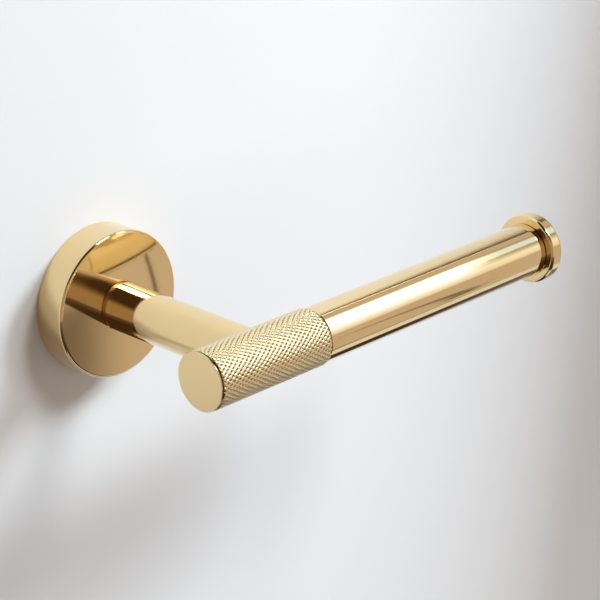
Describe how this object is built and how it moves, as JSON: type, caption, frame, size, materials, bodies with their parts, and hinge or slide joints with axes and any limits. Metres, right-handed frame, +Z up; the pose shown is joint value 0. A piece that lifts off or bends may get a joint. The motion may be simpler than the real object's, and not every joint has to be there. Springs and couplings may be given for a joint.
{
  "type": "toilet paper holder",
  "caption": "Wall-mounted open-ended toilet paper holder in polished brass: round rosette, short arm and a round bar with a knurled grip and an end flange.",
  "frame": {"origin": "centre of the rosette where it meets the wall, midway between the two wall screws", "axes": "+Y into the wall, +X along the bar towards its end flange, +Z up"},
  "size_m": [0.1649, 0.1144, 0.051],
  "materials": {
    "polished_brass": "mirror polished, clear coated",
    "knurled_brass": "fine diamond knurl, polished",
    "raw_brass": "turned, uncoated",
    "zinc_plate": "zinc plated, satin",
    "steel": "plated fastener steel"
  },
  "bodies": {
    "wall_bracket": {"wall_hub": "zinc_plate", "wall_screws": "steel"},
    "holder": {"rosette": "polished_brass", "arm_bolt": "steel", "lock_washer": "steel", "index_pin": "steel", "arm_root_insert": "raw_brass", "arm_tube": "polished_brass", "arm_tip_insert": "raw_brass", "joint_stud": "steel", "knurled_barrel": "knurled_brass", "end_cap": "polished_brass", "bar_joiner": "raw_brass", "bar_tube": "polished_brass", "end_flange": "polished_brass"},
    "set_screw": {"set_screw": "steel"}
  },
  "joints": [
    {"name": "holder_off_wall", "type": "slide", "parent": "wall_bracket", "child": "holder", "axis": [0, -1, 0], "range_m": [0, 0.03]},
    {"name": "set_screw_out", "type": "slide", "parent": "holder", "child": "set_screw", "axis": [0, 0, -1], "range_m": [0, 0.0024]}
  ]
}
